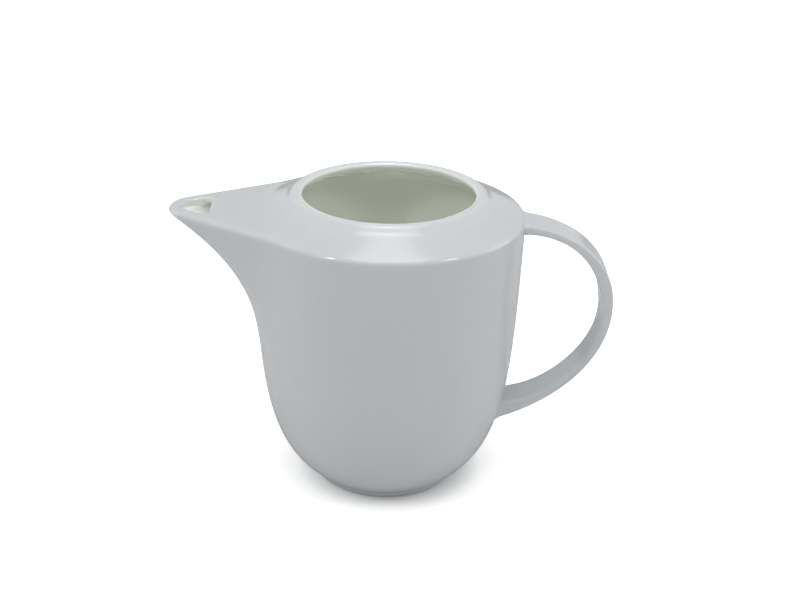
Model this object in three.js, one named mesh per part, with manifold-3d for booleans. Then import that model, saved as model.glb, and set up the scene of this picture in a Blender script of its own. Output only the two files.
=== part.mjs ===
// A white porcelain coffee pot without a lid, standing open: a slip-cast body with a raised collar,
// a beak spout with a pour hole in its flat roof, and a flat strap handle.
// Millimetres, +Z up. The spout points to -X, the handle to +X, and the foot stands on z = 0.
import * as THREE from 'three';
import { mergeVertices } from 'three/addons/utils/BufferGeometryUtils.js';
import Module from 'manifold-3d';

const wasm = await Module();
wasm.setup();

// ---- Driving dimensions ----
const WALL = 3.6;                       // thickness of the cast wall
const JOINT_GAP = 0.3;                  // line of slip between two castings

// Body: a belly that rises from the foot ring to a crisp shoulder edge
const SHOULDER_RADIUS = 62;
const SHOULDER_EDGE_RADIUS = 2.6;       // rounding of the shoulder edge
const SHOULDER_TOP = 131.4;             // height of the top of that rounding
const SHOULDER_SLOPE = 24;              // degrees from level, rising to the collar
const BELLY_FOOT = [35.4, 3.6];         // radius and height where the belly meets the foot ring
const BELLY_PULL_LOW = [58.3, 21.0];    // Bezier handle that gives the round underside
const BELLY_PULL_HIGH = [59.9, 51.9];   // Bezier handle that gives the nearly upright side

// Collar: a low raised ring round the mouth
const COLLAR_START_RADIUS = 47.8;       // where the shoulder begins to turn up
const COLLAR_HOLLOW_RADIUS = 7.75;      // concave sweep out of the shoulder
const COLLAR_STEEPEST = 50;             // degrees from level at the end of that sweep
const COLLAR_CROWN_RADIUS = 4.1;        // convex rounding up to the rim
const MOUTH_RADIUS = 39.3;
const MOUTH_UNDERSIDE_RADIUS = 5;       // from the mouth's wall to the underside of the shoulder

// Foot ring and floor
const FOOT_CONTACT_RADIUS = 33.4;
const FOOT_NECK_RADIUS = 34.1;
const FOOT_EDGE_RADIUS = 0.6;
const FOOT_INNER_RADIUS = 29.6;
const FOOT_RECESS_DEPTH = 3.2;
const FLOOR_HEIGHT = 6.9;               // inside floor
const FLOOR_FLAT_RADIUS = 27;
const FLOOR_CORNER_RISE = 1;            // the wall's curve stops this far above the floor

// Spout: horizontal slices are a round nose with straight flanks that run on to the body
const SPOUT_REACH = 99.5;               // from the body's axis to the tip
const SPOUT_NOSE_RADIUS = 13.7;         // plan radius of the tip
const SPOUT_MERGE_HEIGHT = 58;          // where the throat runs into the belly
const SPOUT_NOSE_FILL = 0.7;            // 1 makes the flanks upright, less draws them in below the roof
const THROAT_PULL_TIP = [88.0, 120.7];  // Bezier handles of the throat's curve, under a level roof
const THROAT_PULL_BODY = [58.9, 106.4];
const FLANK_AIM = 0.96;                 // the flanks aim at a circle of this share of the body's radius
const ROOF_RISE = 0.02;                 // the roof's climb towards the tip
const ROOF_LEVEL_REACH = 45;            // reach at which the roof is as high as the shoulder edge
const ROOF_RISE_FADES = 100;            // height below which the climb no longer lifts the flanks
const POUR_HOLE_BACK = 81.1;            // reach of the straight edge where the roof ends
const POUR_HOLE_LAND = 5.9;             // flat margin between the hole and the outside
const SPOUT_SEAM_CENTRE = [79.5, 116];  // the spout is luted on along a saddle-shaped seam
const SPOUT_SEAM_RADIUS = 30;

// Handle: a flat strap in the plane of the spout. Two Bezier arcs run outside, two inside.
const HANDLE_WIDTH_TOP = 20;
const HANDLE_WIDTH_FOOT = 17.8;
const HANDLE_EDGE_RADIUS = 1.3;
const HANDLE_ROOT_LENGTH = 8;           // the raw strap runs this far into the body before it is trimmed
const HANDLE_OUTSIDE = [
  [[61.3, 128.4], [86.3, 125.6], [104.1, 111.2], [104.1, 88.4]],
  [[104.1, 88.4], [104.1, 55.5], [72.3, 35.2], [51.4, 29.2]],
];
const HANDLE_INSIDE = [
  [[50.4, 39.0], [71.8, 36.2], [99.6, 59.8], [99.6, 82.9]],
  [[99.6, 82.9], [99.6, 93.6], [94.7, 122.5], [63.1, 123.8]],
];

// ---- Resolution ----
const TURN_STEPS = 48;
const BELLY_STEPS = 13;
const NOSE_STEPS = 7;
const FLANK_STEPS = 4;
const THROAT_STEPS = 11;
const ROUNDING_STEPS = 3;
const HANDLE_STEPS = 13;
const SEAM_STEPS = 72;
const HOLLOW_STEPS = 2;                 // for the shallow concave sweeps at the collar
const HANDLE_EDGE_STEPS = 2;
const LOOK_UP_STEPS = 200;              // for reading a curve's radius at a height
const CHANNEL_FLOOR_STEPS = 60;
const MERGE_DISTANCE = 1e-4;            // corners closer than this are one
const CUT_LENGTH = 248;                 // longer than the pot, for blocks that cut right through it

// ---- Finish ----
const PORCELAIN_WHITE = 0xeef0ef;
const GLAZE_ROUGHNESS = 0.12;

const radians = THREE.MathUtils.degToRad;
const edgeCentre = [SHOULDER_RADIUS - SHOULDER_EDGE_RADIUS, SHOULDER_TOP - SHOULDER_EDGE_RADIUS];

// ---- Small helpers ----
function vector([x, y]) {
  return new THREE.Vector2(x, y);
}

function bezier(points) {
  return new THREE.CubicBezierCurve(...points.map(vector));
}

// Points of an arc from one angle to another, in degrees counter-clockwise from the radius direction.
function arc(centre, radius, from, to, steps) {
  const points = [];
  for (let i = 0; i <= steps; i++) {
    const angle = radians(THREE.MathUtils.lerp(from, to, i / steps));
    points.push(new THREE.Vector2(centre[0] + radius * Math.cos(angle), centre[1] + radius * Math.sin(angle)));
  }
  return points;
}

// Points moved sideways from a curve: a positive distance is to the right of its direction.
function offsetCurve(curve, distance, steps) {
  const points = [];
  for (let i = 0; i <= steps; i++) {
    const tangent = curve.getTangent(i / steps);
    const point = curve.getPoint(i / steps);
    points.push(new THREE.Vector2(point.x + tangent.y * distance, point.y - tangent.x * distance));
  }
  return points;
}

// The x of a rising or falling line of points at a given y.
function lookUp(points, y) {
  const ordered = [...points].sort((a, b) => a.y - b.y);
  const above = ordered.findIndex((point) => point.y >= y);
  if (above === -1) return ordered.at(-1).x;
  if (above === 0) return ordered[0].x;
  const [low, high] = [ordered[above - 1], ordered[above]];
  return THREE.MathUtils.lerp(low.x, high.x, (y - low.y) / (high.y - low.y));
}

function lathe(profile) {
  const geometry = new THREE.LatheGeometry(profile, TURN_STEPS);
  geometry.rotateX(Math.PI / 2);
  return geometry;
}

// A closed solid through convex rings of equal point count, counter-clockwise from above, lowest first.
function loft(rings) {
  const count = rings[0].length;
  const positions = rings.flat().flatMap((point) => point.toArray());
  const top = (rings.length - 1) * count;
  const index = [];
  for (let start = 0; start < top; start += count) {
    for (let i = 0; i < count; i++) {
      const [a, b] = [start + i, start + (i + 1) % count];
      index.push(a, b, b + count, a, b + count, a + count);
    }
  }
  for (let i = 1; i + 1 < count; i++) {
    index.push(0, i + 1, i);
    index.push(top, top + i, top + i + 1);
  }
  const geometry = new THREE.BufferGeometry();
  geometry.setAttribute('position', new THREE.Float32BufferAttribute(positions, 3));
  geometry.setIndex(index);
  return geometry;
}

// ---- Solids for joining and cutting ----
function solid(geometry) {
  const bare = geometry.clone();
  bare.deleteAttribute('normal');
  bare.deleteAttribute('uv');
  const merged = mergeVertices(bare, MERGE_DISTANCE);
  const triangles = [];
  const source = merged.index.array;
  for (let i = 0; i < source.length; i += 3) {
    const [a, b, c] = [source[i], source[i + 1], source[i + 2]];
    if (a !== b && b !== c && c !== a) triangles.push(a, b, c);
  }
  const mesh = new wasm.Mesh({
    numProp: 3,
    vertProperties: new Float32Array(merged.attributes.position.array),
    triVerts: new Uint32Array(triangles),
  });
  return new wasm.Manifold(mesh);
}

function geometryOf(manifold) {
  const mesh = manifold.getMesh();
  const geometry = new THREE.BufferGeometry();
  geometry.setAttribute('position', new THREE.Float32BufferAttribute(mesh.vertProperties, 3));
  geometry.setIndex(new THREE.Uint32BufferAttribute(mesh.triVerts, 1));
  geometry.computeVertexNormals();
  return geometry;
}

// ---- Body: outlines from the axis out, as radius and height ----
const belly = bezier([BELLY_FOOT, BELLY_PULL_LOW, BELLY_PULL_HIGH, [SHOULDER_RADIUS, edgeCentre[1]]]);
const bellyPoints = belly.getPoints(LOOK_UP_STEPS);

function bodyRadius(height) {
  return lookUp(bellyPoints, height);
}

// The slope's outline from the shoulder edge up to the crown of the collar, at a depth below the surface.
function slopeHeight(radius, depth) {
  const slope = radians(SHOULDER_SLOPE);
  const start = [
    edgeCentre[0] + SHOULDER_EDGE_RADIUS * Math.sin(slope),
    edgeCentre[1] + SHOULDER_EDGE_RADIUS * Math.cos(slope),
  ];
  return start[1] + (start[0] - radius) * Math.tan(slope) - depth / Math.cos(slope);
}

function onNormal(point, angle, distance) {
  return [point[0] + distance * Math.sin(radians(angle)), point[1] + distance * Math.cos(radians(angle))];
}

const hollowStart = [COLLAR_START_RADIUS, slopeHeight(COLLAR_START_RADIUS, 0)];
const hollowCentre = onNormal(hollowStart, SHOULDER_SLOPE, COLLAR_HOLLOW_RADIUS);
const hollowEnd = onNormal(hollowCentre, COLLAR_STEEPEST, -COLLAR_HOLLOW_RADIUS);
const crownCentre = onNormal(hollowEnd, COLLAR_STEEPEST, -COLLAR_CROWN_RADIUS);
const rimRadius = crownCentre[0] - MOUTH_RADIUS;        // inner rounding of the rim
const rimHeight = crownCentre[1] + COLLAR_CROWN_RADIUS;

function footOutline() {
  return [
    new THREE.Vector2(0, FOOT_RECESS_DEPTH),
    new THREE.Vector2(FOOT_INNER_RADIUS - FOOT_EDGE_RADIUS, FOOT_RECESS_DEPTH),
    new THREE.Vector2(FOOT_INNER_RADIUS, FOOT_EDGE_RADIUS),
    new THREE.Vector2(FOOT_INNER_RADIUS + FOOT_EDGE_RADIUS, 0),
    new THREE.Vector2(FOOT_CONTACT_RADIUS - FOOT_EDGE_RADIUS, 0),
    new THREE.Vector2(FOOT_CONTACT_RADIUS, FOOT_EDGE_RADIUS),
    new THREE.Vector2(FOOT_NECK_RADIUS, BELLY_FOOT[1] - FOOT_EDGE_RADIUS),
  ];
}

function outsideOutline() {
  return [
    ...belly.getPoints(BELLY_STEPS).slice(0, -1),
    ...arc(edgeCentre, SHOULDER_EDGE_RADIUS, 0, 90 - SHOULDER_SLOPE, ROUNDING_STEPS),
    ...arc(hollowCentre, COLLAR_HOLLOW_RADIUS, 270 - SHOULDER_SLOPE, 270 - COLLAR_STEEPEST, HOLLOW_STEPS),
    ...arc(crownCentre, COLLAR_CROWN_RADIUS, 90 - COLLAR_STEEPEST, 90, ROUNDING_STEPS).slice(1),
  ];
}

// The inside from the rim down to the floor, one wall's thickness from the outside.
function insideOutline() {
  const turn = radians(90 - SHOULDER_SLOPE);
  const undersideCentre = [
    MOUTH_RADIUS + MOUTH_UNDERSIDE_RADIUS,
    slopeHeight(MOUTH_RADIUS, WALL) + MOUTH_UNDERSIDE_RADIUS * Math.tan(turn / 2),
  ];
  const cornerRadius = edgeCentre[0] - WALL;
  const cornerHeight = edgeCentre[1] - WALL;
  const wall = offsetCurve(belly, -WALL, BELLY_STEPS);
  return [
    ...arc([crownCentre[0], rimHeight - rimRadius], rimRadius, 90, 180, ROUNDING_STEPS).slice(1),
    ...arc(undersideCentre, MOUTH_UNDERSIDE_RADIUS, 180, 270 - SHOULDER_SLOPE, HOLLOW_STEPS),
    new THREE.Vector2(cornerRadius, slopeHeight(cornerRadius, WALL)),
    new THREE.Vector2(SHOULDER_RADIUS - WALL, cornerHeight),
    ...wall.filter((point) => point.y > FLOOR_HEIGHT + FLOOR_CORNER_RISE && point.y < cornerHeight).reverse(),
    new THREE.Vector2(FLOOR_FLAT_RADIUS, FLOOR_HEIGHT),
    new THREE.Vector2(0, FLOOR_HEIGHT),
  ];
}

function bodyShell() {
  return solid(lathe([...footOutline(), ...outsideOutline(), ...insideOutline()]));
}

// The body without its hollow, grown or shrunk by moving its outline sideways.
function bodyBlock(growth) {
  const outline = [...footOutline(), ...outsideOutline()].slice(1);
  const moved = outline.map((point, i) => {
    const before = outline[Math.max(i - 1, 0)];
    const after = outline[Math.min(i + 1, outline.length - 1)];
    const tangent = after.clone().sub(before).normalize();
    return new THREE.Vector2(point.x + tangent.y * growth, point.y - tangent.x * growth);
  });
  const [first, last] = [moved[0], moved.at(-1)];
  return solid(lathe([new THREE.Vector2(0, first.y), ...moved, new THREE.Vector2(0, last.y)]));
}

// ---- Spout ----
const throat = bezier([
  [SPOUT_REACH, edgeCentre[1]],
  THROAT_PULL_TIP,
  THROAT_PULL_BODY,
  [bodyRadius(SPOUT_MERGE_HEIGHT), SPOUT_MERGE_HEIGHT],
]);
const throatPoints = throat.getPoints(LOOK_UP_STEPS);

// The climb of the roof towards the tip, which fades out down the flanks.
function lift(point) {
  const share = THREE.MathUtils.clamp((point.z - ROOF_RISE_FADES) / (edgeCentre[1] - ROOF_RISE_FADES), 0, 1);
  point.z += ROOF_RISE * (-point.x - ROOF_LEVEL_REACH) * share;
  return point;
}

// How far a height is down the throat, from 0 under the roof to 1 where it meets the belly.
function depthShare(height) {
  const share = (edgeCentre[1] - height) / (edgeCentre[1] - SPOUT_MERGE_HEIGHT);
  return THREE.MathUtils.clamp(share, 0, 1);
}

// The nose that would just touch the flanks of the roof's outline, drawn in by the fill.
function noseRadius(height) {
  const reach = lookUp(throatPoints, height);
  const aim = SHOULDER_RADIUS * FLANK_AIM;
  const taper = (aim - SPOUT_NOSE_RADIUS) / (SPOUT_REACH - SPOUT_NOSE_RADIUS);
  const upright = (aim - taper * reach) / (1 - taper);
  const fill = THREE.MathUtils.lerp(SPOUT_NOSE_FILL, 1, depthShare(height));
  return THREE.MathUtils.lerp(SPOUT_NOSE_RADIUS, upright, fill);
}

// One level outline: round nose, straight flanks, and a chord that closes it inside the body.
function sliceRing(height, reach, inset) {
  const aim = bodyRadius(height) * THREE.MathUtils.lerp(FLANK_AIM, 1, depthShare(height)) - inset;
  const nose = Math.min(noseRadius(height) - inset, aim);
  const centre = reach - nose;
  const turn = Math.acos(Math.min((aim - nose) / centre, 1));
  const half = [];
  for (let i = 0; i <= NOSE_STEPS; i++) {
    const angle = turn * i / NOSE_STEPS;
    half.push([centre + nose * Math.cos(angle), nose * Math.sin(angle)]);
  }
  const [fromX, fromY] = half.at(-1);
  for (let i = 1; i <= FLANK_STEPS; i++) {
    const share = i / FLANK_STEPS;
    half.push([
      THREE.MathUtils.lerp(fromX, aim * Math.cos(turn), share),
      THREE.MathUtils.lerp(fromY, aim * Math.sin(turn), share),
    ]);
  }
  const near = half.map(([x, y]) => new THREE.Vector3(-x, -y, height));
  const far = half.slice(1).map(([x, y]) => new THREE.Vector3(-x, y, height));
  return [...near, ...far.reverse()];
}

// The beak's outside: slices down the throat, and the rounded edge under the flat roof.
function beakBlock() {
  const rings = [];
  for (let i = THROAT_STEPS - 1; i >= 0; i--) {
    const point = throat.getPoint(i / THROAT_STEPS);
    rings.push(sliceRing(point.y, point.x, 0).map(lift));
  }
  for (const point of arc(edgeCentre, SHOULDER_EDGE_RADIUS, 0, 90, ROUNDING_STEPS).slice(1)) {
    const inset = SHOULDER_RADIUS - point.x;
    const ring = sliceRing(edgeCentre[1], SPOUT_REACH - inset, inset);
    rings.push(ring.map((corner) => lift(corner.setZ(point.y))));
  }
  return solid(loft(rings));
}

// The hollow of the beak, run on upwards to where the pour hole is cut through the roof.
function channelBlock() {
  const floor = offsetCurve(throat, WALL, CHANNEL_FLOOR_STEPS);
  const rings = [];
  for (let i = THROAT_STEPS - 1; i >= 0; i--) {
    const height = THREE.MathUtils.lerp(edgeCentre[1] + WALL, SPOUT_MERGE_HEIGHT, i / THROAT_STEPS);
    rings.push(sliceRing(height, lookUp(floor, height), WALL).map(lift));
  }
  return solid(loft(rings));
}

function block(lowX, highX, lowZ, highZ) {
  const geometry = new THREE.BoxGeometry(highX - lowX, CUT_LENGTH, highZ - lowZ);
  geometry.translate((lowX + highX) / 2, 0, (lowZ + highZ) / 2);
  return geometry;
}

// Everything below the underside of the spout's roof.
function belowRoof() {
  const geometry = block(-CUT_LENGTH, 0, 0, SHOULDER_TOP - WALL);
  const corner = new THREE.Vector3();
  const position = geometry.attributes.position;
  for (let i = 0; i < position.count; i++) {
    lift(corner.fromBufferAttribute(position, i));
    position.setXYZ(i, corner.x, corner.y, corner.z);
  }
  return solid(geometry);
}

// The pour hole in plan: the tip's outline less an even margin, ended by the straight edge of the roof.
function pourHole() {
  const ring = sliceRing(edgeCentre[1], SPOUT_REACH - POUR_HOLE_LAND, POUR_HOLE_LAND);
  const top = ring.map((point) => point.clone().setZ(CUT_LENGTH));
  const aheadOfRoof = solid(block(-CUT_LENGTH, -POUR_HOLE_BACK, 0, CUT_LENGTH));
  return solid(loft([ring.map((point) => point.setZ(0)), top])).intersect(aheadOfRoof);
}

// ---- Joining and parting the castings ----
function fullPot() {
  const beak = beakBlock().subtract(bodyBlock(-WALL / 2));
  const hollow = channelBlock().intersect(belowRoof().add(pourHole()));
  return bodyShell().add(beak).subtract(hollow);
}

function seamBlock(growth) {
  const geometry = new THREE.CylinderGeometry(
    SPOUT_SEAM_RADIUS + growth,
    SPOUT_SEAM_RADIUS + growth,
    CUT_LENGTH,
    SEAM_STEPS,
  );
  geometry.translate(-SPOUT_SEAM_CENTRE[0], 0, SPOUT_SEAM_CENTRE[1]);
  return solid(geometry);
}

// ---- Handle ----
function handleShape() {
  const outside = HANDLE_OUTSIDE.map(bezier);
  const inside = HANDLE_INSIDE.map(bezier);
  const runOn = (curve, end) => {
    const along = curve.getTangent(end).multiplyScalar(end === 0 ? -HANDLE_ROOT_LENGTH : HANDLE_ROOT_LENGTH);
    return curve.getPoint(end).add(along);
  };
  const points = [
    runOn(outside[0], 0),
    ...outside[0].getPoints(HANDLE_STEPS),
    ...outside[1].getPoints(HANDLE_STEPS).slice(1),
    runOn(outside[1], 1),
    runOn(inside[0], 0),
    ...inside[0].getPoints(HANDLE_STEPS),
    ...inside[1].getPoints(HANDLE_STEPS).slice(1),
    runOn(inside[1], 1),
  ];
  return new THREE.Shape(points);
}

function strapBlock() {
  const geometry = new THREE.ExtrudeGeometry(handleShape(), {
    depth: HANDLE_WIDTH_TOP - 2 * HANDLE_EDGE_RADIUS,
    bevelThickness: HANDLE_EDGE_RADIUS,
    bevelSize: HANDLE_EDGE_RADIUS,
    bevelOffset: -HANDLE_EDGE_RADIUS,
    bevelSegments: HANDLE_EDGE_STEPS,
    steps: 1,
  });
  geometry.rotateX(Math.PI / 2);
  geometry.translate(0, HANDLE_WIDTH_TOP / 2 - HANDLE_EDGE_RADIUS, 0);
  const [low, high] = [HANDLE_OUTSIDE[1][3][1], HANDLE_OUTSIDE[0][0][1]];
  const position = geometry.attributes.position;
  for (let i = 0; i < position.count; i++) {
    const share = THREE.MathUtils.clamp((position.getZ(i) - low) / (high - low), 0, 1);
    const width = THREE.MathUtils.lerp(HANDLE_WIDTH_FOOT, HANDLE_WIDTH_TOP, share);
    position.setY(i, position.getY(i) * width / HANDLE_WIDTH_TOP);
  }
  return solid(geometry);
}

// ---- Materials ----
function porcelain() {
  return new THREE.MeshStandardMaterial({ color: PORCELAIN_WHITE, roughness: GLAZE_ROUGHNESS, metalness: 0 });
}

// ---- The pot ----
function casting(name, manifold, material) {
  const mesh = new THREE.Mesh(geometryOf(manifold), material);
  mesh.name = name;
  return mesh;
}

const whole = fullPot();
const pot = new THREE.Group();
pot.add(casting('body', whole.subtract(seamBlock(JOINT_GAP)), porcelain()));
pot.add(casting('spout', whole.intersect(seamBlock(0)), porcelain()));
pot.add(casting('handle', strapBlock().subtract(bodyBlock(JOINT_GAP)), porcelain()));

// The frame's origin is on the table under the middle of the pot's overall length.
const reach = new THREE.Box3().setFromObject(pot);
pot.position.x = -(reach.min.x + reach.max.x) / 2;

export default pot;
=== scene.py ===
"""A white porcelain coffee pot without a lid: glazed castings for the body, the spout and the handle."""

import math

import bmesh
import bpy
import numpy as np
from mathutils import Matrix, Vector


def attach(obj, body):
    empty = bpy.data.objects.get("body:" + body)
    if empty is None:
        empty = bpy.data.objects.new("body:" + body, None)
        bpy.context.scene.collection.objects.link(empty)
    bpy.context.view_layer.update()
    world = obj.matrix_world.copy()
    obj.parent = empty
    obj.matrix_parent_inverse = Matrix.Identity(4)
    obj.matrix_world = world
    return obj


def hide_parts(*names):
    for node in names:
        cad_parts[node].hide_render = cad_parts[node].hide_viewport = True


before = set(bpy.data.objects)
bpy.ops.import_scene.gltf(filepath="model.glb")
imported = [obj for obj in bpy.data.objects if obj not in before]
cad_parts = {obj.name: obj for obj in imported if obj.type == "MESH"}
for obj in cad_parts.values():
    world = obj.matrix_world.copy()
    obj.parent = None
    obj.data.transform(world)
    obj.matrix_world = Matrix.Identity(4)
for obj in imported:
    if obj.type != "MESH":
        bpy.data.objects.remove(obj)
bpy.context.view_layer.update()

# ---- Body, in millimetres: (radius, height) from the body's axis ----
MM = 0.001
WALL = 3.6
AXIS_X = -2.3
SHOULDER_RADIUS = 62.0
EDGE_RADIUS = 2.6
EDGE_RING = SHOULDER_RADIUS - EDGE_RADIUS
EDGE_HEIGHT = 128.8
SLOPE = math.radians(24)
BELLY = [(35.4, 3.6), (58.3, 21.0), (59.9, 51.9), (62.0, 128.8)]
FOOT_OUTLINE = [
    (0, 3.2), (10, 3.2), (20, 3.2), (26.5, 3.2), (28.6, 3.0), (29.3, 2.2), (29.5, 1.1), (29.8, 0.35),
    (30.3, 0.03), (31.5, 0), (32.7, 0.03), (33.2, 0.35), (33.5, 1.1), (33.8, 2.2), (34.3, 3.1),
]
FLOOR_OUTLINE = [(36, 8.4), (31, 7.3), (25, 6.95), (18, 6.9), (9, 6.9), (0, 6.9)]
FLOOR_START = 9.6

# ---- Collar: a hollow curve, a crown over the rim, and a round underside ----
COLLAR_START = 47.8
HOLLOW_RADIUS = 7.75
STEEPEST = math.radians(50)
CROWN_RADIUS = 4.1
MOUTH_RADIUS = 39.3
UNDERSIDE_RADIUS = 5.0

# ---- Spout: the reach is from the body's axis towards the tip ----
SPOUT_REACH = 99.5
NOSE_RADIUS = 13.7
MERGE_HEIGHT = 58.0
NOSE_FILL = 0.7
THROAT_PULLS = [(88.0, 120.7), (58.9, 106.4)]
FLANK_AIM = 0.96
FLANK_BLEND = 3.0
BLEND_FADE = 0.4
FLANK_FALL = 40.0
ROOF_RISE = 0.02
ROOF_LEVEL_REACH = 45.0
ROOF_BEND = 4.0
RISE_START = 100.0
VALLEY_BLEND = 2.6
VALLEY_START = math.radians(24)
VALLEY_END = math.radians(46)
ROOF_DROP = 2.5
INNER_CORNER = 2.4

# ---- Pour hole; each side row is a lip at the sides, a lip at the back and a depth under the roof ----
HOLE_BACK = 81.1
HOLE_LAND = 5.9
HOLE_CORNER = 2.0
HOLE_LIP = 1.2
ROOF_LIP = 2.4
HOLE_SIDES = ((0.35, 0.95, 0.3), (0, 0.3, 1.1), (0, 0, 2.2), (0.05, 0.4, 3.2))
LIP_DEPTH = 2.2
CORNER_SETTLED = 6.0
BACK_SETTLED = 7.4
SETTLE_COLUMNS = 6
SLIP_COLUMNS = 3

# ---- Handle: outer and inner arcs in the plane through the body's axis, as (reach, height) ----
HANDLE_OUTSIDE = [
    [(61.3, 128.4), (86.3, 125.6), (104.1, 111.2), (104.1, 88.4)],
    [(104.1, 88.4), (104.1, 55.5), (72.3, 35.2), (51.4, 29.2)],
]
HANDLE_INSIDE = [
    [(63.1, 123.8), (94.7, 122.5), (99.6, 93.6), (99.6, 82.9)],
    [(99.6, 82.9), (99.6, 59.8), (71.8, 36.2), (50.4, 39.0)],
]
HANDLE_WIDTH_TOP = 20.0
HANDLE_WIDTH_FOOT = 17.8
HANDLE_EDGE = 1.3
ROOT_FLARE = 0.85
ROOT_LENGTH = 3.2
ROOT_DEPTH = 2.2
FLARE_FADE = 2.4
FLARE_SQUARENESS = 4
FLARE_REACH_FOOT = 9.0
FLARE_REACH_TOP = 10.0

# ---- Columns of the pot's quad grid over half the outline, from the tip round to the back ----
NOSE, TIP, FLANK, BLEND, BACK = 18, 4, 14, 8, 46
HALF = NOSE + TIP + FLANK + BLEND + BACK
AROUND = 2 * HALF
HOLE_COLUMN = NOSE + TIP
SEAM_COLUMN = NOSE + TIP + FLANK - 4
FLANK_OVERRUN = 12.0
BACK_OVERRUN = 14.0
CREASE_FADE = 13.0

# ---- Rows of the grid ----
BELLY_ROWS = 18
HOLLOW_ROWS = 16
TOP_ROWS = 14
FADE_ROWS = 8
EDGE_KEEP_LOSS = 0.25
HOLE_KEEPS = (0.75, 0.6, 0.42)
COLLAR_EVENNESS = 0.3
SEAM_ROW = 9
RIM_ROWS = 11
# Rows past the rim over which the inside's painted bounce light fades in.
TINT_ROWS = 6
SEAM_HEIGHT = 87
WALL_HEIGHTS = [
    60.5, 63.5, 67, 71, 75, 79, 83, 87, 91, 95, 99, 103, 107, 110.5, 114, 117, 120, 122.5, 125, 127,
]
CHANNEL_HEIGHTS = [
    122.5, 120, 117, 114, 111.5, 109, 106.5, 104, 101, 98, 95, 92.5, 90, 87, 83, 79, 75, 71, 67, 63.5, 60.5,
]

# ---- Looks: colours from and to which the clouding runs, and the light of the room ----
OUTER_TINTS = ((0.695, 0.728, 0.752, 1), (0.712, 0.74, 0.76, 1))
# The inside's tints are brighter and greener than the outside's: painted bounce light, standing in for light
# thrown round inside the pot.
INNER_TINTS_PAINTED_BOUNCE = ((0.94, 0.965, 0.895, 1), (0.95, 0.97, 0.905, 1))
BARE_TINT = (0.62, 0.6, 0.56, 1)
NOISE_RANGE = (0.3, 0.7)
CLOUD_SCALE = 28
GLOSS_SCALE = 160
RIPPLE_SCALE = 55
GRAIN_SCALE = 900
GLAZE_ROUGHNESS = (0.09, 0.15)
BARE_ROUGHNESS = 0.5
GLAZE_IOR = 1.5
COAT_WEIGHT = 0.25
COAT_ROUGHNESS = 0.04
RIPPLE_STRENGTH = 0.12
RIPPLE_DEPTH = 0.0004
BARE_HEIGHT = (0.0002, 0.0006)
BARE_RADIUS = (0.034, 0.0344)
FLOOR_SIZE = 10.0
FLOOR_TONE = 0.75
# The floor's glow is painted light: none within NO_GLOW_RADIUS of the axis, rising through GLOW_STOPS to
# FAR_GLOW, so the dark ring round the foot is a painted contact shadow.
NO_GLOW_RADIUS = 0.03
GLOW_RADIUS = 0.25
GLOW_STOPS = ((0.18, 0.52), (0.3, 0.855))
FAR_GLOW = 0.95
BOUNCE_TONE = 0.68
HORIZON_LIGHT = 0.6
HORIZON_FADE = 0.75
ZENITH_LIGHT = 0.2
CAMERA_PLACE = (-0.0023, -0.5956, 0.35196)
CAMERA_PITCH = 0.419
CAMERA_YAW = 0.010
CAMERA_ROLL = 0.022
LENS = 63
SENSOR = 36
AIM = (0, 0, 0.1)
PANEL_AIM = (0, 0, 0.08)
SOFT_BOXES = (
    ("key", (0, -0.45, 1.35), AIM, 1.0, 0.8, 4.7),
    ("overhead", (0, 0.1, 1.45), AIM, 0.7, 0.7, 3.5),
    ("left_box", (-0.75, -0.55, 0.95), AIM, 0.12, 0.25, 1.7),
    ("right_box", (0.85, -0.5, 0.95), AIM, 0.12, 0.25, 1.7),
    ("left_panel", (-1.1, 0.2, 0.4), PANEL_AIM, 0.6, 0.7, 2.0),
    ("right_panel", (1.1, 0.2, 0.4), PANEL_AIM, 0.6, 0.7, 2.1),
)
SPOT_HEIGHT = 1.4
SPOT_AIM_HEIGHT = 0.137
SPOT_ANGLE = 0.056
SPOT_POWER = 56
SPOT_SIZE = 0.02


# ---- Curves ----
def lerp(a, b, share):
    return a + (b - a) * share


def smooth(low, high, value):
    share = np.clip((value - low) / (high - low), 0, 1)
    return share * share * (3 - 2 * share)


def soft_max(a, b, width):
    """The larger of two numbers, rounded where they are within a width of each other."""
    width = np.maximum(width, 1e-4)
    near = np.maximum(width - np.abs(a - b), 0) / width
    return np.maximum(a, b) + near * near * width / 4


def bezier(points, t):
    p = np.array(points, float)
    t = np.asarray(t, float)[..., None]
    u = 1 - t
    return u ** 3 * p[0] + 3 * u * u * t * p[1] + 3 * u * t * t * p[2] + t ** 3 * p[3]


def bezier_normal(points, t):
    """The direction to the left of the curve."""
    p = np.array(points, float)
    t = np.asarray(t, float)[..., None]
    u = 1 - t
    along = u * u * (p[1] - p[0]) + 2 * u * t * (p[2] - p[1]) + t * t * (p[3] - p[2])
    along /= np.linalg.norm(along, axis=-1, keepdims=True)
    return np.stack([-along[..., 1], along[..., 0]], -1)


FINE = np.linspace(0, 1, 801)
belly_fine = bezier(BELLY, FINE)
hollow_fine = belly_fine + WALL * bezier_normal(BELLY, FINE)


def body_radius(height):
    return np.interp(height, belly_fine[:, 1], belly_fine[:, 0])


THROAT = [(SPOUT_REACH, EDGE_HEIGHT), *THROAT_PULLS, (float(body_radius(MERGE_HEIGHT)), MERGE_HEIGHT)]
throat_fine = bezier(THROAT, FINE)
channel_fine = throat_fine - WALL * bezier_normal(THROAT, FINE)


def throat_reach(height):
    """How far the spout's front reaches at a height."""
    return np.interp(height, throat_fine[::-1, 1], throat_fine[::-1, 0])


def channel_reach(height):
    """How far the channel inside the spout reaches at a height."""
    return np.interp(height, channel_fine[::-1, 1], channel_fine[::-1, 0])


def depth_share(height):
    """0 at the shoulder's edge, 1 where the throat leaves the belly."""
    return np.clip((EDGE_HEIGHT - height) / (EDGE_HEIGHT - MERGE_HEIGHT), 0, 1)


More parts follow.
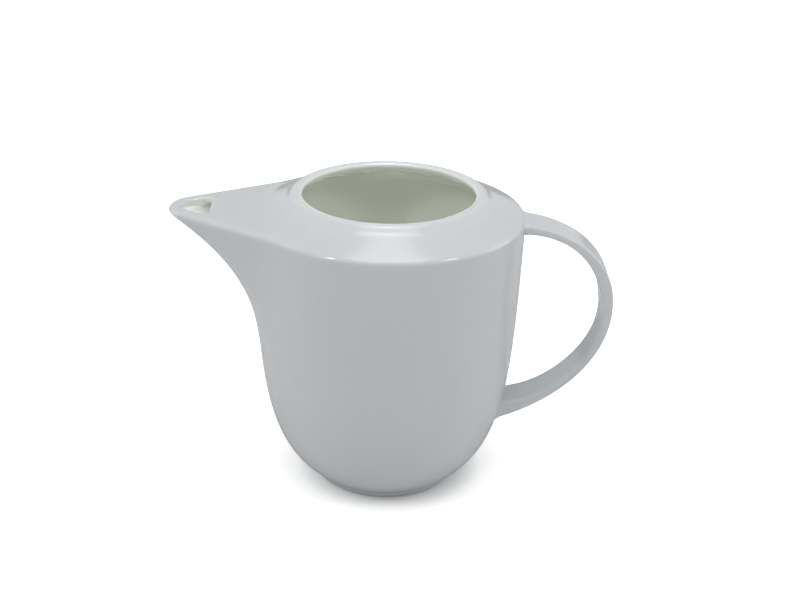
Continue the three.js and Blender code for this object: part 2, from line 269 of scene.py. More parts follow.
def nose_radius(height):
    aim = SHOULDER_RADIUS * FLANK_AIM
    taper = (aim - NOSE_RADIUS) / (SPOUT_REACH - NOSE_RADIUS)
    upright = (aim - taper * throat_reach(height)) / (1 - taper)
    return lerp(NOSE_RADIUS, upright, lerp(NOSE_FILL, 1, depth_share(height)))


def flank(height, reach, inset):
    """The nose's centre and radius, the circle the flank aims at, and the angle of the flank's normal."""
    share = depth_share(height)
    aim = body_radius(height) * lerp(FLANK_AIM, 1, share) - inset
    nose = min(nose_radius(height) - inset, aim * 0.9999)
    centre = max(reach - nose, 1e-3)
    return centre, nose, aim, math.acos(min(max((aim - nose) / centre, 0), 1))


def polar_radius(height, reach, inset, angle):
    """The radius of a level outline in each direction, measured from the spout's."""
    centre, nose, aim, turn = flank(height, reach, inset)
    nose_end = math.atan2(nose * math.sin(turn), centre + nose * math.cos(turn))
    on_nose = centre * np.cos(angle) + np.sqrt(np.maximum(nose ** 2 - (centre * np.sin(angle)) ** 2, 0))
    on_flank = aim / np.cos(np.minimum(angle, turn) - turn) - FLANK_FALL * np.maximum(angle - turn, 0) ** 2
    beak = np.where(angle < nose_end, on_nose, on_flank)
    blend = FLANK_BLEND * smooth(0, BLEND_FADE, 1 - depth_share(height))
    return soft_max(body_radius(height) - inset, beak, blend)


def plan(angle, radius):
    return np.stack([radius * np.cos(angle), radius * np.sin(angle)], -1)


# ---- The shoulder edge's outline, column by column ----
TIP_CENTRE, _, TIP_AIM, TIP_TURN = flank(EDGE_HEIGHT, SPOUT_REACH, 0)
TIP_NORMAL = np.array([math.cos(TIP_TURN), math.sin(TIP_TURN)])
TIP_ALONG = np.array([math.sin(TIP_TURN), -math.cos(TIP_TURN)])
CORNER = np.array([HOLE_BACK + HOLE_CORNER, 0.0])
CORNER[1] = (TIP_AIM - HOLE_LAND - HOLE_CORNER - CORNER[0] * TIP_NORMAL[0]) / TIP_NORMAL[1]


def edge_angles():
    """The columns' directions along the shoulder's edge: round the nose, then the flank and the body."""
    arc = np.linspace(0, TIP_TURN, NOSE + 1)
    nose = np.stack([TIP_CENTRE + NOSE_RADIUS * np.cos(arc), NOSE_RADIUS * np.sin(arc)], -1)
    start = TIP_CENTRE * math.sin(TIP_TURN)
    corner = CORNER @ TIP_ALONG
    crease = math.sqrt(SHOULDER_RADIUS ** 2 - TIP_AIM ** 2)
    stations = np.r_[
        np.linspace(start, corner, TIP + 1)[1:],
        np.linspace(corner, crease + FLANK_OVERRUN, FLANK + 1)[1:],
    ]
    side = TIP_AIM * TIP_NORMAL + stations[:, None] * TIP_ALONG
    points = np.r_[nose, side]
    angles = np.arctan2(points[:, 1], points[:, 0])
    back_start = TIP_TURN - math.atan2(crease, TIP_AIM) + BACK_OVERRUN / SHOULDER_RADIUS
    angles = np.r_[angles, np.linspace(angles[-1], back_start, BLEND + 1)[1:]]
    return np.r_[angles, np.linspace(back_start, math.pi, BACK + 1)[1:]]


edge_angle = edge_angles()
even_angle = np.linspace(0, math.pi, HALF + 1)
edge_plan = plan(edge_angle, polar_radius(EDGE_HEIGHT, SPOUT_REACH, 0, edge_angle))


def outline_normals():
    """The outward direction at each column of the shoulder's edge."""
    step = 1e-4
    ahead, behind = [
        plan(edge_angle + d, polar_radius(EDGE_HEIGHT, SPOUT_REACH, 0, edge_angle + d)) for d in (step, -step)
    ]
    behind[0] = ahead[0] * [1, -1]
    ahead[-1] = behind[-1] * [1, -1]
    along = ahead - behind
    normal = np.stack([along[:, 1], -along[:, 0]], -1)
    return normal / np.linalg.norm(normal, axis=1, keepdims=True)


edge_normal = outline_normals()
edge_tangent = np.stack([edge_normal[:, 1], -edge_normal[:, 0]], -1)
run = np.r_[0, np.cumsum(np.linalg.norm(np.diff(edge_plan, axis=0), axis=1))]
crease_run = np.interp(TIP_TURN - math.acos(TIP_AIM / SHOULDER_RADIUS), edge_angle, run)
edge_slope = SLOPE * smooth(crease_run - CREASE_FADE, crease_run + CREASE_FADE, run)


def inset_plan(inset):
    return edge_plan - np.reshape(inset, (-1, 1)) * edge_normal


def rise(points, height):
    """The climb of the roof towards the tip, which fades out down the flanks."""
    share = np.clip((height - RISE_START) / (EDGE_HEIGHT - RISE_START), 0, 1)
    over = points[:, 0] - ROOF_LEVEL_REACH
    return ROOF_RISE * share * (over + np.sqrt(over * over + ROOF_BEND ** 2)) / 2


def off(point, angle, distance):
    """A point moved at an angle from the vertical."""
    return point + distance * np.array([math.sin(angle), math.cos(angle)])


def top_height(points, depth=0.0):
    """The shoulder's cone and the spout's roof, joined by a soft valley."""
    radius = np.hypot(points[:, 0], points[:, 1])
    angle = np.abs(np.arctan2(points[:, 1], points[:, 0]))
    cone = CONE_START[1] + (CONE_START[0] - radius) * math.tan(SLOPE) - depth / math.cos(SLOPE)
    near = 1 - smooth(VALLEY_START, VALLEY_END, angle)
    roof = EDGE_HEIGHT + EDGE_RADIUS + rise(points, EDGE_HEIGHT) - depth - ROOF_DROP * (1 - near)
    return soft_max(cone, roof, VALLEY_BLEND * near)


CONE_START = off(np.array([EDGE_RING, EDGE_HEIGHT]), SLOPE, EDGE_RADIUS)


def row(points, height):
    """One row of the grid: half an outline with its heights."""
    height = np.broadcast_to(height, (len(points),))
    return np.c_[points, height]


def circle(radius, height, angle):
    return row(plan(angle, np.full(len(angle), float(radius))), height)


def wall_angle(height, top):
    return lerp(top, even_angle, smooth(0, 1, depth_share(height)))


# ---- Rows, from the middle of the recess under the pot, up the outside and down the inside ----
def foot_rows():
    return [circle(r, z, even_angle) for r, z in FOOT_OUTLINE[1:]]


def lower_rows(curve, count):
    """Evenly spaced circles along a curve, up to where the spout's throat begins."""
    low = curve[np.searchsorted(curve[:, 1], MERGE_HEIGHT)]
    part = curve[curve[:, 1] < low[1]]
    length = np.r_[0, np.cumsum(np.linalg.norm(np.diff(part, axis=0), axis=1))]
    at = np.linspace(0, length[-1], count)
    radii = np.interp(at, length, part[:, 0])
    heights = np.interp(at, length, part[:, 1])
    return [circle(r, z, even_angle) for r, z in zip(radii, heights)]


def outer_wall_row(height):
    angle = wall_angle(height, edge_angle)
    points = plan(angle, polar_radius(height, throat_reach(height), 0, angle))
    return row(points, height + rise(points, height))


def edge_rows():
    """The round edge between the wall and the shoulder, or the roof near the tip."""
    rows = []
    for share in (0, 0.25, 0.5, 0.75, 1):
        angle = share * (math.pi / 2 - edge_slope)
        points = inset_plan(EDGE_RADIUS * (1 - np.cos(angle)))
        rows.append(row(points, EDGE_HEIGHT + EDGE_RADIUS * np.sin(angle) + rise(points, EDGE_HEIGHT)))
    return rows


edge_end = edge_rows()[-1]
edge_error = edge_end[:, 2] - top_height(edge_end[:, :2])


def on_top(points, keep):
    """A row on the top, which keeps a share of the height that the edge's last row differs by."""
    return row(points, top_height(points) + edge_error * keep)


def hole_rows(lip, back_lip):
    """The three rows that hold the pour hole: outer side, round corner, and the roof's straight edge."""
    first = inset_plan(np.full(HALF + 1, HOLE_LAND - lip))
    steps = np.maximum(np.arange(HALF + 1) - HOLE_COLUMN, 0)
    corner_mid = (TIP_TURN + math.pi) / 2
    corner_way = np.array([math.cos(corner_mid), math.sin(corner_mid)])
    mid_at = CORNER + (HOLE_CORNER + (lip + back_lip) / 2) * corner_way
    back_at = CORNER - np.array([HOLE_CORNER + back_lip, 0])
    rows = [first]
    for target, settled in ((mid_at, CORNER_SETTLED), (back_at, BACK_SETTLED)):
        inset = TIP_AIM - target @ TIP_NORMAL
        slip = CORNER @ TIP_ALONG - target @ TIP_ALONG
        inset = lerp(settled, inset, np.exp(-steps / SETTLE_COLUMNS))
        points = inset_plan(inset) - (slip * np.exp(-steps / SLIP_COLUMNS))[:, None] * edge_tangent
        points[HOLE_COLUMN] = target
        rows.append(points)
    back = np.arange(HOLE_COLUMN + 1)
    rows[2][back] = np.stack([np.full(len(back), back_at[0]), CORNER[1] * back / HOLE_COLUMN], -1)
    return rows


hole_plan = hole_rows(HOLE_LIP, ROOF_LIP)
hole_angle = np.abs(np.arctan2(hole_plan[2][:, 1], hole_plan[2][:, 0]))
hole_radius = np.hypot(hole_plan[2][:, 0], hole_plan[2][:, 1])
collar_angle = lerp(hole_angle, even_angle, COLLAR_EVENNESS)


def between_hole_and_collar(share, inner_radius):
    """A row that turns from the pour hole's back edge into a circle at the collar."""
    radius = lerp(hole_radius, inner_radius, share)
    return plan(lerp(hole_angle, collar_angle, smooth(0, 1, share)), radius)


def collar_outline():
    """Radius and height from the foot of the collar over the rim to the underside of the shoulder."""
    start = np.array([COLLAR_START, CONE_START[1] + (CONE_START[0] - COLLAR_START) * math.tan(SLOPE)])
    hollow = off(start, SLOPE, HOLLOW_RADIUS)
    hollow_end = off(hollow, STEEPEST, -HOLLOW_RADIUS)
    crown = off(hollow_end, STEEPEST, -CROWN_RADIUS)
    rim = crown[0] - MOUTH_RADIUS
    top = crown[1] + CROWN_RADIUS
    points = [off(hollow, a, -HOLLOW_RADIUS) for a in np.linspace(SLOPE, STEEPEST, 6)[1:]]
    points += [off(crown, a, CROWN_RADIUS) for a in np.linspace(STEEPEST, 0, 7)[1:]]
    points += [off(np.array([crown[0], top - rim]), -a, rim) for a in np.linspace(0, math.pi / 2, 7)[1:]]
    under = CONE_START[1] + (CONE_START[0] - MOUTH_RADIUS) * math.tan(SLOPE) - WALL / math.cos(SLOPE)
    under += UNDERSIDE_RADIUS * math.tan((math.pi / 2 - SLOPE) / 2)
    low = np.array([MOUTH_RADIUS + UNDERSIDE_RADIUS, under])
    points += [np.array([MOUTH_RADIUS, z]) for z in np.linspace(top - rim, under, 3)[1:-1]]
    turns = np.linspace(math.pi, math.pi * 1.5 - SLOPE, 6)
    points += [low + UNDERSIDE_RADIUS * np.array([math.cos(a), math.sin(a)]) for a in turns]
    return points


def under_top(points):
    return row(points, top_height(points, WALL))


def inner_wall_row(height, inset):
    reach = min(channel_reach(height), SPOUT_REACH - HOLE_LAND)
    angle = wall_angle(height, edge_angle)
    points = plan(angle, polar_radius(height, reach, inset, angle))
    return row(points, height + rise(points, height))


def under_edge_rows():
    """From the underside of the roof round the inner corner to the inner wall."""
    rows = []
    for share in (0.25, 0.5, 0.75, 1):
        angle = share * math.pi / 2
        inset = lerp(WALL, HOLE_LAND, 1 - math.sin(angle))
        height = EDGE_HEIGHT + EDGE_RADIUS - WALL - INNER_CORNER * (1 - math.cos(angle))
        rows.append(inner_wall_row(height, inset))
    return rows


def pot_rows():
    """All rows, with the numbers of the ones that the hole, the seam and the inner tint of painted bounce
    light need.
    """
    rows = foot_rows() + lower_rows(belly_fine, BELLY_ROWS)
    marks = {}
    for height in WALL_HEIGHTS:
        if height == SEAM_HEIGHT:
            marks["outer_low"] = len(rows)
        rows.append(outer_wall_row(height))
    rows += edge_rows()
    end_inset = EDGE_RADIUS * (1 - np.sin(edge_slope))
    for share in (0.33, 0.67):
        points = inset_plan(lerp(end_inset, HOLE_LAND - HOLE_LIP, share))
        rows.append(on_top(points, 1 - EDGE_KEEP_LOSS * share))
    marks["outer_hole"] = len(rows)
    rows += [on_top(points, keep) for points, keep in zip(hole_plan, HOLE_KEEPS)]
    for i in range(1, TOP_ROWS + 1):
        if i == SEAM_ROW:
            marks["outer_top"] = len(rows)
        keep = HOLE_KEEPS[-1] * max(1 - i / FADE_ROWS, 0)
        rows.append(on_top(between_hole_and_collar(i / TOP_ROWS, COLLAR_START), keep))
    outline = collar_outline()
    marks["rim"] = len(rows) + RIM_ROWS
    rows += [circle(r, z, collar_angle) for r, z in outline]
    last = outline[-1][0]
    for i in range(TOP_ROWS - 1, 0, -1):
        if i == SEAM_ROW:
            marks["inner_top"] = len(rows)
        rows.append(under_top(between_hole_and_collar(i / TOP_ROWS, last)))
    marks["inner_hole"] = len(rows)
    rows += [under_top(points) for points in reversed(hole_plan[1:])]
    flat = inset_plan(np.full(HALF + 1, HOLE_LAND))
    rows.append(under_top(flat))
    rows += under_edge_rows()
    for height in CHANNEL_HEIGHTS:
        if height == SEAM_HEIGHT:
            marks["inner_low"] = len(rows)
        rows.append(inner_wall_row(height, WALL))
    rows += [r for r in reversed(lower_rows(hollow_fine, HOLLOW_ROWS)) if r[0, 2] > FLOOR_START]
    rows += [circle(r, z, even_angle) for r, z in FLOOR_OUTLINE[:-1]]
    return rows, marks


def mirrored(half):
    """A whole row: the near half, then the far half back to the tip."""
    far = half[-2:0:-1] * [1, -1, 1]
    return np.r_[half, far]


def placed(points):
    return np.c_[AXIS_X - points[:, 0], points[:, 1], points[:, 2]] * MM


def pot_mesh():
    """The whole pot's points and faces, which faces the spout owns, and how far inside each point is, which
    sets how much of the painted bounce light its colour takes.
    """
    rows, marks = pot_rows()
    points = np.vstack([mirrored(r) for r in rows])
    # The inside share: 0 on the outside, rising past the rim to 1 inside, where the colour takes the painted
    # bounce light.
    inside = np.repeat(smooth(marks["rim"], marks["rim"] + TINT_ROWS, np.arange(len(rows))), AROUND)
    inside = np.r_[inside, 0, 1]
    points = np.vstack([points, [[0, 0, FOOT_OUTLINE[0][1]], [0, 0, FLOOR_OUTLINE[-1][1]]]])
    pole_low, pole_high = len(points) - 2, len(points) - 1
    hole_columns = [c % AROUND for c in range(-HOLE_COLUMN, HOLE_COLUMN + 1)]
    seam_columns = {c % AROUND for c in range(-SEAM_COLUMN, SEAM_COLUMN)}
    in_hole = {c % AROUND for c in range(-HOLE_COLUMN, HOLE_COLUMN)}
    faces, tags = [], []

    def vertex(i, c):
        return i * AROUND + c % AROUND

    outer, inner = marks["outer_hole"], marks["inner_hole"]
    hole_bands = (outer, outer + 1, inner, inner + 1)
    spout_bands = {
        *range(marks["outer_low"], marks["outer_top"]),
        *range(marks["inner_top"], marks["inner_low"]),
    }
    for i in range(len(rows) - 1):
        for c in range(AROUND):
            if i in hole_bands and c in in_hole:
                continue
            faces.append((vertex(i, c), vertex(i, c + 1), vertex(i + 1, c + 1), vertex(i + 1, c)))
            tags.append(1 if i in spout_bands and c in seam_columns else 0)
    last = len(rows) - 1
    for c in range(AROUND):
        faces.append((vertex(0, c + 1), vertex(0, c), pole_low))
        faces.append((vertex(last, c), vertex(last, c + 1), pole_high))
        tags += [0, 0]

    def loop(first, middle, back):
        return (
            [vertex(first, c) for c in hole_columns]
            + [vertex(middle, hole_columns[-1])]
            + [vertex(back, c) for c in reversed(hole_columns)]
            + [vertex(middle, hole_columns[0])]
        )

    loops = [loop(outer, outer + 1, outer + 2)]
    for side_lip, back_lip, from_top in HOLE_SIDES:
        start = len(points)
        first, corner, back = hole_rows(side_lip, back_lip)
        near = np.arange(HOLE_COLUMN + 1)
        side = np.r_[first[near[:0:-1]] * [1, -1], first[near]]
        rear = np.r_[back[near[:0:-1]] * [1, -1], back[near]][::-1]
        corner = corner[HOLE_COLUMN]
        flat = np.vstack([side, [corner], rear, [corner * [1, -1]]])
        points = np.vstack([points, row(flat, top_height(flat) - from_top)])
        loops.append(list(range(start, len(points))))
        # Deeper under the roof, the hole's lip takes more of the painted bounce light.
        inside = np.r_[inside, np.full(len(flat), min(from_top / LIP_DEPTH, 1))]
    loops.append(loop(inner + 2, inner + 1, inner))
    for upper, lower in zip(loops, loops[1:]):
        for k in range(len(upper)):
            n = (k + 1) % len(upper)
            faces.append((upper[k], upper[n], lower[n], lower[k]))
            tags.append(1)
    return placed(points), faces, tags, inside


def mesh_object(name, points, faces):
    mesh = bpy.data.meshes.new(name)
    mesh.from_pydata([tuple(p) for p in points], [], faces)
    obj = bpy.data.objects.new(name, mesh)
    bpy.context.collection.objects.link(obj)
    return obj


def cleaned(obj):
    """Drops unused corners and turns every face outwards."""
    bm = bmesh.new()
    bm.from_mesh(obj.data)
    bmesh.ops.delete(bm, geom=[v for v in bm.verts if not v.link_faces], context="VERTS")
    bmesh.ops.recalc_face_normals(bm, faces=bm.faces)
    bm.to_mesh(obj.data)
    bm.free()


def smoothed(obj, levels):
    """The object's mesh after subdivision, as a plain mesh."""
    modifier = obj.modifiers.new("Smooth", "SUBSURF")
    modifier.levels = modifier.render_levels = levels
    result = bpy.data.meshes.new_from_object(obj.evaluated_get(bpy.context.evaluated_depsgraph_get()))
    bpy.data.objects.remove(obj)
    return result


def part_of(whole, name, tag):
    """One casting: its share of the faces, closed through the wall at the seam, with the whole's normals."""
    normals = {tuple(round(x, 7) for x in v.co): v.normal.copy() for v in whole.vertices}
    bm = bmesh.new()
    bm.from_mesh(whole)
    bmesh.ops.delete(bm, geom=[f for f in bm.faces if f.material_index != tag], context="FACES")
    bmesh.ops.bridge_loops(bm, edges=[e for e in bm.edges if e.is_boundary])
    for f in bm.faces:
        f.material_index = 0
        f.smooth = True
    mesh = bpy.data.meshes.new(name)
    bm.normal_update()
    bm.to_mesh(mesh)
    bm.free()
    kept = [normals[tuple(round(x, 7) for x in v.co)] for v in mesh.vertices]
    mesh.normals_split_custom_set_from_vertices(kept)
    obj = bpy.data.objects.new(name, mesh)
    bpy.context.collection.objects.link(obj)
    return obj


def make_pot():
    """One smooth pot, split by material index into the body and the spout."""
    points, faces, tags, inside = pot_mesh()
    draft = mesh_object("draft", points, faces)
    draft.data.materials.append(None)
    draft.data.materials.append(None)
    draft.data.polygons.foreach_set("material_index", tags)
    draft.data.polygons.foreach_set("use_smooth", [True] * len(faces))
    # This attribute masks the painted bounce light in the material.
    draft.data.attributes.new("inside", "FLOAT", "POINT").data.foreach_set("value", inside)
    cleaned(draft)
    whole = smoothed(draft, 1)
    pieces = [part_of(whole, "pot_body", 0), part_of(whole, "pot_spout", 1)]
    bpy.data.meshes.remove(whole)
    return pieces


# ---- Handle ----
def handle_stations():
    """Curve parameters for the two arcs, closer together at the roots."""
    near_root = [0, 0.006, 0.012, 0.019, 0.027, 0.037, 0.05, 0.07, 0.1, 0.14]
    first = np.r_[near_root, np.linspace(0.19, 1, 18)]
    second = (1 - first)[::-1]
    return first, second


def handle_lines():
    """Outer and inner points in the handle's plane, from root to root, with both ends inside the wall."""
    first, second = handle_stations()
    lines = []
    for arcs in (HANDLE_OUTSIDE, HANDLE_INSIDE):
        line = np.r_[bezier(arcs[0], first), bezier(arcs[1], second)[1:]]
        start, end = line[0] - line[1], line[-1] - line[-2]
        start, end = start / np.linalg.norm(start), end / np.linalg.norm(end)
        before = [line[0] + start * d for d in (ROOT_DEPTH, 0.5 * ROOT_DEPTH)]
        after = [line[-1] + end * d for d in (0.5 * ROOT_DEPTH, ROOT_DEPTH)]
        lines.append(np.vstack([before, line, after]))
    return lines


def section(half_width, half_thick):
    """A rounded rectangle, across and through, counter-clockwise."""
    points = []
    r = HANDLE_EDGE
    for side_x, side_y, start in ((1, 1, 0), (-1, 1, 90), (-1, -1, 180), (1, -1, 270)):
        middle_x, middle_y = side_x * (half_width - r), side_y * (half_thick - r)
        for turn in (0, 30, 60, 90):
            a = math.radians(start + turn)
            points.append((middle_x + r * math.cos(a), middle_y + r * math.sin(a)))
        if side_x == side_y:
            points += [(middle_x * share, side_y * half_thick) for share in (0.55, 0, -0.55)]
        else:
            points += [(side_x * half_width, 0)]
    return np.array(points)


def body_distance(reach, across, height):
    """How far a point is outside the body's wall."""
    radius = np.hypot(reach, across)
    side = radius - body_radius(height)
    over = np.hypot(radius - EDGE_RING, height - EDGE_HEIGHT) - EDGE_RADIUS
    return np.where((height > EDGE_HEIGHT) & (radius > EDGE_RING), over, side)


def make_handle():
    """The strap, swept along its two lines, with a fillet round each root."""
    outside, inside = handle_lines()
    low, high = HANDLE_OUTSIDE[1][3][1], HANDLE_OUTSIDE[0][0][1]
    rings = []
    for out, into in zip(outside, inside):
        middle = (out + into) / 2
        through = out - into
        thick = np.linalg.norm(through)
        through /= thick
        share = min(max((middle[1] - low) / (high - low), 0), 1)
        shape = section(lerp(HANDLE_WIDTH_FOOT, HANDLE_WIDTH_TOP, share) / 2, thick / 2)
        flat = middle + shape[:, 1:] * through
        distance = body_distance(flat[:, 0], shape[:, 0], flat[:, 1])
        flare = ROOT_FLARE * np.clip(1 - distance / ROOT_LENGTH, 0, 1) ** FLARE_FADE
        nearness = np.minimum(np.abs(shape) / [lerp(FLARE_REACH_FOOT, FLARE_REACH_TOP, share), thick / 2], 1)
        outward = np.sign(shape) * nearness ** FLARE_SQUARENESS
        outward /= np.maximum(np.linalg.norm(outward, axis=1, keepdims=True), 1e-6)
        shape = shape + outward * flare[:, None]
        flat = middle + shape[:, 1:] * through
        rings.append(np.c_[flat[:, 0], shape[:, 0], flat[:, 1]])
    count = len(rings[0])
    points = np.vstack(rings)
    points = np.c_[AXIS_X + points[:, 0], points[:, 1], points[:, 2]] * MM
    faces = []
    for i in range(len(rings) - 1):
        for k in range(count):
            n = (k + 1) % count
            faces.append((i * count + k, i * count + n, (i + 1) * count + n, (i + 1) * count + k))
    faces.append(tuple(range(count)))
    faces.append(tuple(range(len(points) - count, len(points))))
    obj = mesh_object("draft_handle", points, faces)
    obj.data.polygons.foreach_set("use_smooth", [True] * len(faces))
    cleaned(obj)
    mesh = smoothed(obj, 1)
    mesh.name = "pot_handle"
    handle = bpy.data.objects.new("pot_handle", mesh)
    bpy.context.collection.objects.link(handle)
    return handle


# ---- Material ----
def porcelain():
    """Gloss glaze over white porcelain: faint clouding, a slight ripple, a bare ring under the foot, and a
    brighter, greener inside that is painted bounce light.
    """
    material = bpy.data.materials.new("glazed_porcelain")
    material.use_nodes = True
    nodes, links = material.node_tree.nodes, material.node_tree.links
    shader = nodes["Principled BSDF"]
    place = nodes.new("ShaderNodeTexCoord")

    def noise(scale, detail):
        node = nodes.new("ShaderNodeTexNoise")
        node.inputs["Scale"].default_value = scale
        node.inputs["Detail"].default_value = detail
        links.new(place.outputs["Object"], node.inputs["Vector"])
        return node.outputs["Fac"]

    def ramp(value, low, high, to_low, to_high):
        node = nodes.new("ShaderNodeMapRange")
        for socket, number in zip(node.inputs[1:5], (low, high, to_low, to_high)):
            socket.default_value = number
        links.new(value, node.inputs["Value"])
        return node.outputs["Result"]

    def math_node(operation, a, b):
        node = nodes.new("ShaderNodeMath")
        node.operation = operation
        for socket, value in zip(node.inputs, (a, b)):
            if isinstance(value, (int, float)):
                socket.default_value = value
            else:
                links.new(value, socket)
        return node.outputs["Value"]

    def mix(factor, a, b):
        node = nodes.new("ShaderNodeMix")
        node.data_type = "RGBA"
        links.new(factor, node.inputs["Factor"])
        for socket, value in zip((node.inputs["A"], node.inputs["B"]), (a, b)):
            if isinstance(value, tuple):
                socket.default_value = value
            else:
                links.new(value, socket)
        return node.outputs["Result"]

    split = nodes.new("ShaderNodeSeparateXYZ")
    links.new(place.outputs["Object"], split.inputs[0])
    across = math_node("ADD", split.outputs["X"], -AXIS_X * MM)
    square = math_node("ADD", math_node("POWER", across, 2), math_node("POWER", split.outputs["Y"], 2))
    radius = math_node("SQRT", square, 0)
    low = ramp(split.outputs["Z"], *BARE_HEIGHT, 1, 0)
    near = ramp(radius, *BARE_RADIUS, 1, 0)
    bare = math_node("MULTIPLY", low, near)
    hollow = nodes.new("ShaderNodeAttribute")
    hollow.attribute_name = "inside"
    cloud = ramp(noise(CLOUD_SCALE, 3), *NOISE_RANGE, 0, 1)
    glaze = mix(cloud, *OUTER_TINTS)
    # Painted bounce light: inside the pot the glaze's colour turns to the brighter, greener inner tints,
    # standing in for light thrown round the hollow.
    painted_bounce_colour = mix(cloud, *INNER_TINTS_PAINTED_BOUNCE)
    colour = mix(hollow.outputs["Fac"], glaze, painted_bounce_colour)
    links.new(mix(bare, colour, BARE_TINT), shader.inputs["Base Color"])
    gloss = ramp(noise(GLOSS_SCALE, 2), *NOISE_RANGE, *GLAZE_ROUGHNESS)
    rougher = math_node("MULTIPLY", bare, BARE_ROUGHNESS)
    links.new(math_node("ADD", gloss, rougher), shader.inputs["Roughness"])
    shader.inputs["IOR"].default_value = GLAZE_IOR
    shader.inputs["Coat Weight"].default_value = COAT_WEIGHT
    shader.inputs["Coat Roughness"].default_value = COAT_ROUGHNESS
    bump = nodes.new("ShaderNodeBump")
    bump.inputs["Strength"].default_value = RIPPLE_STRENGTH
    bump.inputs["Distance"].default_value = RIPPLE_DEPTH
    grain = math_node("MULTIPLY", noise(GRAIN_SCALE, 3), bare)
    ripple = math_node("ADD", noise(RIPPLE_SCALE, 2), grain)
    links.new(ripple, bump.inputs["Height"])
    links.new(bump.outputs["Normal"], shader.inputs["Normal"])
    return material


# ---- Pieces on the frame ----
pot_body, pot_spout = make_pot()
pot_handle = make_handle()
finish = porcelain()
for piece, node in ((pot_body, "body"), (pot_spout, "spout"), (pot_handle, "handle")):
    piece.data.materials.clear()
    piece.data.materials.append(finish)
    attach(piece, "root")
    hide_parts(node)


# ---- Floor, light and camera ----
def flat_sheet(name, height, tone):
    """A wide square sheet, part of the stage, and its material."""
    size = FLOOR_SIZE
    corners = [(-size, -size, height), (size, -size, height), (size, size, height), (-size, size, height)]
    obj = mesh_object(name, corners, [(0, 1, 2, 3)])
    material = bpy.data.materials.new(name)
    material.use_nodes = True
    shader = material.node_tree.nodes["Principled BSDF"]
    shader.inputs["Base Color"].default_value = (tone, tone, tone, 1)
    shader.inputs["Roughness"].default_value = 0.9
    shader.inputs["Specular IOR Level"].default_value = 0.1
    obj.data.materials.append(material)
    return obj, material


def add_glow_and_painted_shadow(material):
    """A painted glow that is dark at the pot's foot, a painted contact shadow, and whitens the sheet further
    out.
    """
    nodes, links = material.node_tree.nodes, material.node_tree.links
    shader = nodes["Principled BSDF"]
    distance = nodes.new("ShaderNodeVectorMath")
    distance.operation = "LENGTH"
    links.new(nodes.new("ShaderNodeTexCoord").outputs["Object"], distance.inputs[0])
    share = nodes.new("ShaderNodeMath")
    share.operation = "MULTIPLY"
    share.inputs[1].default_value = 1 / GLOW_RADIUS
    links.new(distance.outputs["Value"], share.inputs[0])
    # Painted contact shadow: no glow near the foot, more glow further out.
    grow = nodes.new("ShaderNodeValToRGB")
    first, last = grow.color_ramp.elements
    first.position = NO_GLOW_RADIUS / GLOW_RADIUS
    first.color = (0, 0, 0, 1)
    last.color = (FAR_GLOW, FAR_GLOW, FAR_GLOW, 1)
    for position, strength in GLOW_STOPS:
        stop = grow.color_ramp.elements.new(position)
        stop.color = (strength, strength, strength, 1)
    links.new(share.outputs["Value"], grow.inputs["Fac"])
    links.new(grow.outputs["Color"], shader.inputs["Emission Strength"])
    shader.inputs["Emission Color"].default_value = (1, 1, 1, 1)


def make_floor():
    """A white floor for the camera, whose glow leaves a painted contact shadow round the foot, and under it a
    greyer sheet whose light comes back up at the pot.
    """
    floor, material = flat_sheet("floor", 0.0, FLOOR_TONE)
    add_glow_and_painted_shadow(material)
    floor.visible_diffuse = False
    floor.visible_glossy = False
    floor.visible_shadow = False
    bounce, _ = flat_sheet("bounce_card", -0.0002, BOUNCE_TONE)
    bounce.visible_camera = False


def lamp(data, place, target):
    obj = bpy.data.objects.new(data.name, data)
    obj.location = place
    obj.rotation_euler = (Vector(target) - Vector(place)).to_track_quat("-Z", "Y").to_euler()
    bpy.context.collection.objects.link(obj)


def soft_box(name, place, target, width, height, power):
    data = bpy.data.lights.new(name, "AREA")
    data.shape = "RECTANGLE"
    data.size, data.size_y = width, height
    data.energy = power
    lamp(data, place, target)


def mouth_spot():
    """A narrow lamp straight above the mouth, whose light spreads over the inside from the pot's floor."""
    data = bpy.data.lights.new("mouth_spot", "SPOT")
    data.energy = SPOT_POWER
    data.spot_size = SPOT_ANGLE
    data.spot_blend = 0.5
    data.shadow_soft_size = SPOT_SIZE
    lamp(data, (AXIS_X * MM, 0, SPOT_HEIGHT), (AXIS_X * MM, 0, SPOT_AIM_HEIGHT))


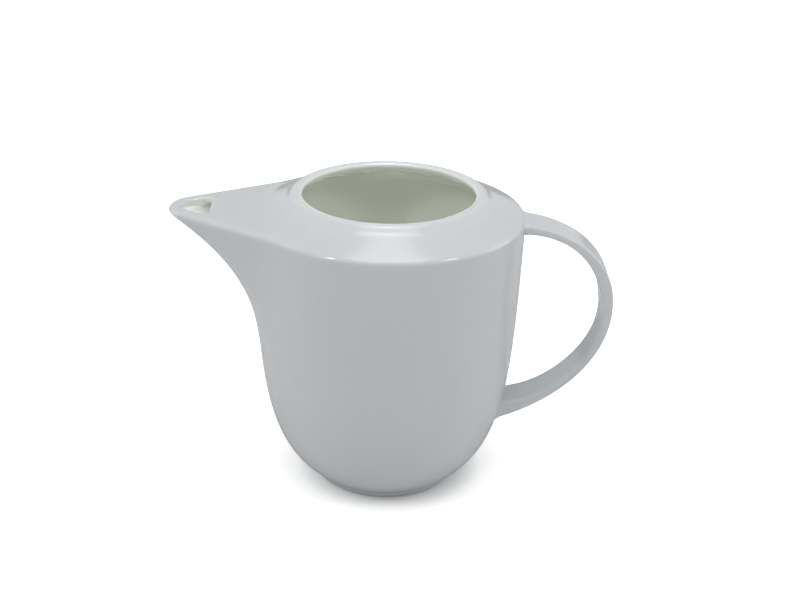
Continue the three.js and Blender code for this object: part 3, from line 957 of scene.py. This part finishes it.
def make_world():
    """Soft light, brightest at the horizon, behind a plain white background."""
    world = bpy.data.worlds.new("studio")
    world.use_nodes = True
    nodes, links = world.node_tree.nodes, world.node_tree.links
    nodes["Background"].inputs["Color"].default_value = (1, 1, 1, 1)
    split = nodes.new("ShaderNodeSeparateXYZ")
    links.new(nodes.new("ShaderNodeTexCoord").outputs["Generated"], split.inputs[0])
    fall = nodes.new("ShaderNodeMapRange")
    fall.interpolation_type = "SMOOTHSTEP"
    for socket, number in zip(fall.inputs[1:5], (0, HORIZON_FADE, HORIZON_LIGHT, ZENITH_LIGHT)):
        socket.default_value = number
    links.new(split.outputs["Z"], fall.inputs["Value"])
    links.new(fall.outputs["Result"], nodes["Background"].inputs["Strength"])
    backdrop = nodes.new("ShaderNodeBackground")
    backdrop.inputs["Color"].default_value = (1, 1, 1, 1)
    rays = nodes.new("ShaderNodeLightPath")
    choice = nodes.new("ShaderNodeMixShader")
    links.new(rays.outputs["Is Camera Ray"], choice.inputs[0])
    links.new(nodes["Background"].outputs[0], choice.inputs[1])
    links.new(backdrop.outputs[0], choice.inputs[2])
    links.new(choice.outputs[0], nodes["World Output"].inputs["Surface"])
    bpy.context.scene.world = world


def make_camera():
    """The camera, looking along +Y and down, with a small turn and tilt."""
    data = bpy.data.cameras.new("camera")
    data.lens = LENS
    data.sensor_width = SENSOR
    data.clip_start = 0.01
    camera = bpy.data.objects.new("camera", data)
    level = math.cos(CAMERA_PITCH)
    forward = Vector((math.sin(CAMERA_YAW) * level, math.cos(CAMERA_YAW) * level, -math.sin(CAMERA_PITCH)))
    right = Vector((math.cos(CAMERA_YAW), -math.sin(CAMERA_YAW), 0))
    up = right.cross(forward)
    turned = math.cos(CAMERA_ROLL) * right + math.sin(CAMERA_ROLL) * up
    up = math.cos(CAMERA_ROLL) * up - math.sin(CAMERA_ROLL) * right
    camera.matrix_world = Matrix((
        (turned.x, up.x, -forward.x, CAMERA_PLACE[0]),
        (turned.y, up.y, -forward.y, CAMERA_PLACE[1]),
        (turned.z, up.z, -forward.z, CAMERA_PLACE[2]),
        (0, 0, 0, 1),
    ))
    bpy.context.collection.objects.link(camera)
    bpy.context.scene.camera = camera


make_floor()
make_world()
for settings in SOFT_BOXES:
    soft_box(*settings)
mouth_spot()
make_camera()
bpy.context.scene.view_settings.view_transform = "Standard"

bpy.context.view_layer.update()
